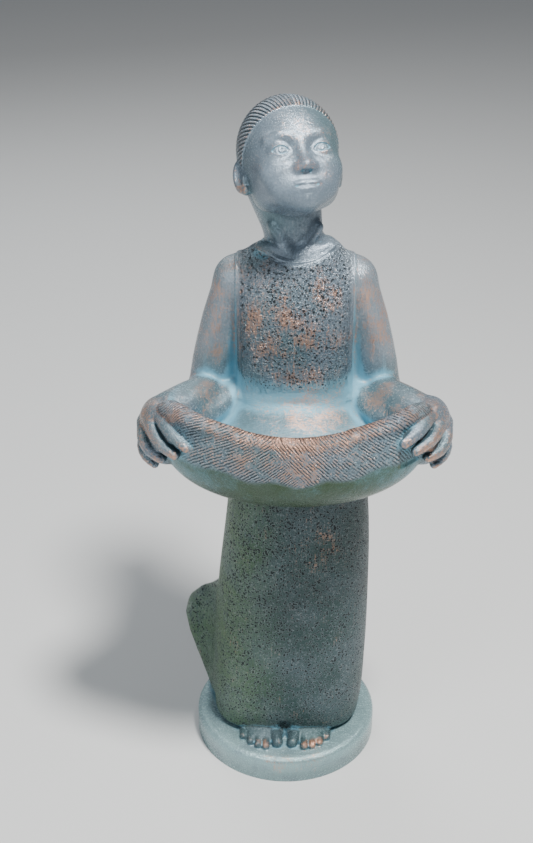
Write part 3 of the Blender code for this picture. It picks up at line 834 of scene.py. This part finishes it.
PATINA = (0.180, 0.235, 0.290, 1)  # the blue-grey ground
TEAL = (0.125, 0.200, 0.228, 1)  # broad patches in it, and the dish
SHADED_GREEN = (0.012, 0.048, 0.042, 1)  # dark green: painted shade on the skirt and the feet, with some painted green reflection on the skirt
UNDERSIDE_SHADE = (0.026, 0.060, 0.020, 1)  # the basin's underside: painted shade, its green a painted reflection
LEFT_SKIRT_GREEN = (0.060, 0.135, 0.045, 1)  # the greener side of the skirt
WEATHERED = (0.295, 0.455, 0.470, 1)  # the base
DEEP = (0.060, 0.088, 0.108, 1)
PALE = (0.460, 0.525, 0.575, 1)
COPPER = (0.640, 0.345, 0.225, 1)  # where the patina is worn through, and a painted highlight along the rim
VERDIGRIS = (0.185, 0.455, 0.590, 1)  # light blue-green in creases and hollows
HOLLOW_DARK_AND_SHADE = (0.010, 0.015, 0.018, 1)  # near-black: the dark of pits and grooves, and painted shade in deep creases and recesses


class Paint:
    """Adds shader nodes to a material. A value may be a number, a colour or another node's output."""

    def __init__(self, material):
        self.tree = material.node_tree

    def node(self, kind, values, output=0, **settings):
        node = self.tree.nodes.new(kind)
        for name, value in settings.items():
            setattr(node, name, value)
        for socket, value in values.items():
            self.give(node.inputs[socket], value)
        return node.outputs[output]

    def give(self, socket, value):
        if isinstance(value, bpy.types.NodeSocket):
            self.tree.links.new(value, socket)
        else:
            socket.default_value = value

    def stored(self, name):
        return self.node("ShaderNodeAttribute", {}, "Fac", attribute_name=name)

    def point(self, name):
        return self.node("ShaderNodeAttribute", {}, "Vector", attribute_name=name)

    def sum(self, *terms):
        """Adds up numbers and (value, factor) pairs."""
        total = 0.0
        for term in terms:
            value, factor = term if isinstance(term, tuple) else (term, 1.0)
            values = {0: value, 1: factor, 2: total}
            total = self.node("ShaderNodeMath", values, operation="MULTIPLY_ADD")
        return total

    def times(self, a, b):
        return self.node("ShaderNodeMath", {0: a, 1: b}, operation="MULTIPLY")

    def step(self, value, low, high, top=1.0):
        """Rises smoothly from 0 at low to top at high."""
        return self.node("ShaderNodeMapRange", {0: value, 1: low, 2: high, 3: 0.0, 4: top},
                         interpolation_type="SMOOTHSTEP")

    def wave(self, turns):
        """Goes from -1 to 1 and back once in every turn."""
        return self.node("ShaderNodeMath", {0: self.times(turns, 2 * np.pi)}, operation="COSINE")

    def noise(self, point, scale, detail=3.0, roughness=0.5):
        values = {"Vector": point, "Scale": scale, "Detail": detail, "Roughness": roughness}
        return self.node("ShaderNodeTexNoise", values)

    def mix(self, share, a, b):
        return self.node("ShaderNodeMix", {0: share, 6: a, 7: b}, 2, data_type="RGBA")


def hatching(paint, place):
    """How high the strokes stand that cross on the basin's band: two sets, each in its own patches."""
    around, below = paint.stored("around"), paint.stored("below")
    wander = paint.noise(place, 14, 1)
    fine = paint.noise(place, 210, 2)
    one = paint.wave(paint.sum((around, 0.60 / 3.0), (below, 0.80 / 3.0), (wander, 5.0), (fine, 0.8)))
    two = paint.wave(paint.sum((around, -0.70 / 3.2), (below, 0.70 / 3.2), (wander, 4.0), (fine, 0.8)))
    which = paint.step(paint.sum((around, 0.004), paint.noise(place, 30, 1)), 0.35, 0.62)
    lines = paint.sum((paint.times(two, which), 1.0), one, (paint.times(one, which), -1.0))
    gaps = paint.step(paint.noise(place, 130, 2), 0.30, 0.56)
    return paint.times(lines, gaps)


def copper_patina():
    material = bpy.data.materials.new("copper_patina")
    material.use_nodes = True
    shader = material.node_tree.nodes["Principled BSDF"]
    paint = Paint(material)
    place = paint.node("ShaderNodeTexCoord", {}, "Object")
    grain_at = paint.point("grain")
    names = ("crease", "hidden", "raised", "rub", "pitted", "skirt", "bowl", "band", "dish", "hair",
             "skin", "sewn", "seam", "base", "rim", "greener_left", "top", "feet", "hands", "shore", "arms")
    at = {name: paint.stored(name) for name in names}

    # Patterns
    broad = paint.noise(place, 11, 2)
    cloudy = paint.noise(place, 42, 4, 0.6)
    speck = paint.noise(place, 420, 3, 0.6)
    streak = paint.noise(grain_at, 0.42, 4, 0.62)
    fine_streak = paint.noise(grain_at, 1.1, 3, 0.6)
    bent = paint.node("ShaderNodeTexNoise", {"Vector": place, "Scale": 240.0, "Detail": 1.0}, "Color")
    bent = paint.node("ShaderNodeVectorMath", {0: bent, 1: (0.004, 0.004, 0.004), 2: place},
                      operation="MULTIPLY_ADD")
    cells = paint.node("ShaderNodeTexVoronoi", {"Vector": bent, "Scale": 285.0, "Randomness": 1.0},
                       "Distance")
    patchy = paint.noise(place, 70, 2)
    hollow = paint.sum(cells, (patchy, 0.34))
    pit = paint.times(paint.step(hollow, 0.55, 0.45), at["pitted"])
    burr = paint.times(paint.step(hollow, 0.70, 0.60), paint.step(hollow, 0.50, 0.60))
    burr = paint.times(burr, at["pitted"])
    strokes = paint.times(hatching(paint, place), at["band"])
    comb = paint.times(paint.wave(paint.sum(paint.stored("strand"), (cloudy, 0.35))), at["hair"])
    lip = paint.times(paint.step(at["seam"], 3.2, 1.6), paint.step(at["seam"], -1.2, 0.4))
    lip = paint.times(lip, at["sewn"])
    groove = paint.times(paint.step(at["seam"], 4.6, 3.4), paint.step(at["seam"], 2.2, 3.2))
    groove = paint.times(groove, at["sewn"])

    # How worn, green or dark each place is. Along the rim the copper is partly a painted highlight,
    # and the dark is painted shade in creases and recesses
    below_band = paint.sum(at["bowl"], (at["band"], -1.0))
    # Copper where the patina is worn through, and along the rim a painted highlight
    worn_and_sheen = paint.sum((at["raised"], 0.70), (at["rub"], 0.55), (at["rim"], 0.40), (streak, 1.2),
                     (cloudy, 1.3), (broad, 0.5), (speck, 1.4), (fine_streak, 0.7), (strokes, 0.32),
                     (comb, 0.10), (at["hidden"], -0.6), (at["base"], -0.35), (at["skin"], -0.30),
                     (at["band"], -0.15), (below_band, -0.7), (at["feet"], -0.40),
                     (at["dish"], -0.05), (at["skirt"], -0.17), -2.66)
    copper = paint.step(worn_and_sheen, 0.0, 0.65, 0.85)
    green = paint.sum((at["crease"], 1.30), (at["hidden"], 0.35), (at["dish"], 0.10), (cloudy, 0.5),
                      (streak, 0.4), (at["skirt"], -0.35), (at["hands"], -0.55),
                      (at["shore"], 0.65), (lip, 0.25), (at["skin"], -0.60), (at["base"], -0.8),
                      (at["feet"], -0.8))
    green = paint.step(green, 0.62, 1.30, 0.80)
    # Painted shade: near-black in deep creases and recesses, and on the hands
    crease_shade = paint.sum((at["crease"], 0.6), (at["hidden"], 0.6), (streak, 0.2), (at["dish"], -0.5),
                     (at["top"], -0.5), (at["skin"], -0.2), (at["hands"], 0.35))
    crease_shade = paint.step(crease_shade, 0.95, 1.40)
    carved = paint.step(paint.sum((strokes, -1.05), (comb, -0.65), (groove, 0.25)), 0.10, 0.60, 0.85)

    ground = paint.mix(paint.step(broad, 0.40, 0.68), PATINA, TEAL)
    ground = paint.mix(paint.step(paint.sum(streak, (cloudy, 0.6)), 0.78, 1.1, 0.45), ground, PALE)
    flecks = paint.sum(speck, (fine_streak, 0.8))
    few = paint.sum((at["skin"], -0.40), (at["hair"], -0.3), (at["base"], -0.30),
                    (below_band, -0.35), 0.50)
    ground = paint.mix(paint.times(paint.step(flecks, 0.96, 1.24), few), ground, PALE)
    dips = paint.times(paint.step(flecks, 0.92, 0.66), paint.sum(few, 0.1))
    ground = paint.mix(dips, ground, DEEP)
    ground = paint.mix(paint.times(at["arms"], 0.30), ground, PALE)
    # Pale crests on the hatch strokes: a painted highlight
    ground = paint.mix(paint.step(strokes, 0.35, 0.95, 0.6), ground, PALE)
    # The skirt painted darker and greener: painted shade, with some painted green reflection
    shaded_skirt = paint.times(at["greener_left"], paint.step(paint.sum(streak, cloudy), 0.6, 1.05))
    shaded_skirt = paint.mix(shaded_skirt, SHADED_GREEN, LEFT_SKIRT_GREEN)
    shade = paint.step(paint.noise(place, 17, 2), 0.3, 0.7)
    skirt_shading = paint.sum((paint.times(at["skirt"], shade), 0.25), (at["skirt"], 0.68))
    ground = paint.mix(skirt_shading, ground, shaded_skirt)
    # Painted shade and painted green reflection on the basin's underside, below the band
    ground = paint.mix(paint.times(below_band, paint.sum((shade, 0.15), 0.85)), ground, UNDERSIDE_SHADE)
    ground = paint.mix(paint.times(burr, 0.3), ground, PALE)
    # Painted shade on the feet, in the same dark green
    ground = paint.mix(paint.times(at["feet"], 0.60), ground, SHADED_GREEN)
    bleached = paint.times(at["base"], paint.step(cloudy, 0.05, 0.55, 0.8))
    ground = paint.mix(bleached, ground, WEATHERED)
    ground = paint.mix(paint.times(at["dish"], 0.55), ground, TEAL)
    colour = paint.mix(green, ground, VERDIGRIS)
    colour = paint.mix(copper, colour, COPPER)
    colour = paint.mix(carved, colour, HOLLOW_DARK_AND_SHADE)
    # The painted shade in creases and recesses
    colour = paint.mix(paint.times(crease_shade, 0.9), colour, HOLLOW_DARK_AND_SHADE)
    colour = paint.mix(paint.times(pit, 0.92), colour, HOLLOW_DARK_AND_SHADE)
    paint.give(shader.inputs["Base Color"], colour)
    metal = paint.sum((copper, 0.30), (green, -0.3), (at["skirt"], -0.25), 0.45)
    paint.give(shader.inputs["Metallic"], metal)
    rough = paint.sum((speck, 0.32), (green, 0.15), (copper, -0.06), (pit, 0.3),
                      (at["skirt"], 0.12), (at["dish"], 0.14), 0.09)
    paint.give(shader.inputs["Roughness"], rough)

    # Relief in millimetres
    cloth = paint.times(paint.sum((fine_streak, 1.3), (speck, 1.3)),
                        paint.sum((at["pitted"], 1.2), (at["band"], 0.6), (at["skin"], -0.12), 0.42))
    height = paint.sum((pit, -1.0), (burr, 0.35), cloth, (strokes, 0.42), (comb, 0.30), (lip, 0.45),
                       (groove, -0.20), (streak, 0.35), (cloudy, 1.2))
    bump = paint.node("ShaderNodeBump", {"Strength": 1.0, "Distance": 0.001, "Height": height})
    paint.give(shader.inputs["Normal"], bump)
    return material


# The studio

CAMERA_AT = (0.0025, -1.40, 1.22)
CAMERA_TILT = 61.5  # degrees up from looking straight down
CAMERA_TURN = 1.15
LIGHTS_AIM_AT = (0, 0, 0.45)


def floor():
    mesh = bpy.data.meshes.new("floor")
    mesh.from_pydata([(-8, -5, 0), (8, -5, 0), (8, 12, 0), (-8, 12, 0)], [], [(0, 1, 2, 3)])
    ground = bpy.data.objects.new("floor", mesh)
    material = bpy.data.materials.new("floor")
    material.use_nodes = True
    shader = material.node_tree.nodes["Principled BSDF"]
    shader.inputs["Base Color"].default_value = (0.62, 0.63, 0.63, 1)
    shader.inputs["Roughness"].default_value = 0.8
    mesh.materials.append(material)
    bpy.context.scene.collection.objects.link(ground)


def camera():
    view = bpy.data.objects.new("camera", bpy.data.cameras.new("camera"))
    view.location = CAMERA_AT
    view.rotation_euler = (np.radians(CAMERA_TILT), 0, np.radians(CAMERA_TURN))
    view.data.sensor_width = 36
    view.data.lens = 57.14
    bpy.context.scene.collection.objects.link(view)
    bpy.context.scene.camera = view


def area_light(name, at, size, watts, colour):
    lamp = bpy.data.lights.new(name, "AREA")
    lamp.shape = "DISK"
    lamp.size = size
    lamp.energy = watts
    lamp.color = colour
    light = bpy.data.objects.new(name, lamp)
    light.location = at
    aim = Vector(LIGHTS_AIM_AT) - Vector(at)
    light.rotation_euler = aim.to_track_quat("-Z", "Y").to_euler()
    bpy.context.scene.collection.objects.link(light)


def studio():
    area_light("key", (0.65, -0.95, 2.90), 0.50, 170, (1.0, 0.98, 0.95))
    area_light("fill", (-1.9, -1.9, 1.7), 1.8, 26, (0.92, 0.96, 1.0))
    area_light("back", (-0.8, 2.0, 2.2), 1.6, 30, (0.95, 0.98, 1.0))
    world = bpy.data.worlds.new("studio")
    world.use_nodes = True
    background = world.node_tree.nodes["Background"]
    background.inputs["Color"].default_value = (0.86, 0.92, 1.0, 1)
    background.inputs["Strength"].default_value = 0.19
    bpy.context.scene.world = world


casting = make_casting("girl_casting")
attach(casting, "root")
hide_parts("girl_statue")
floor()
camera()
studio()
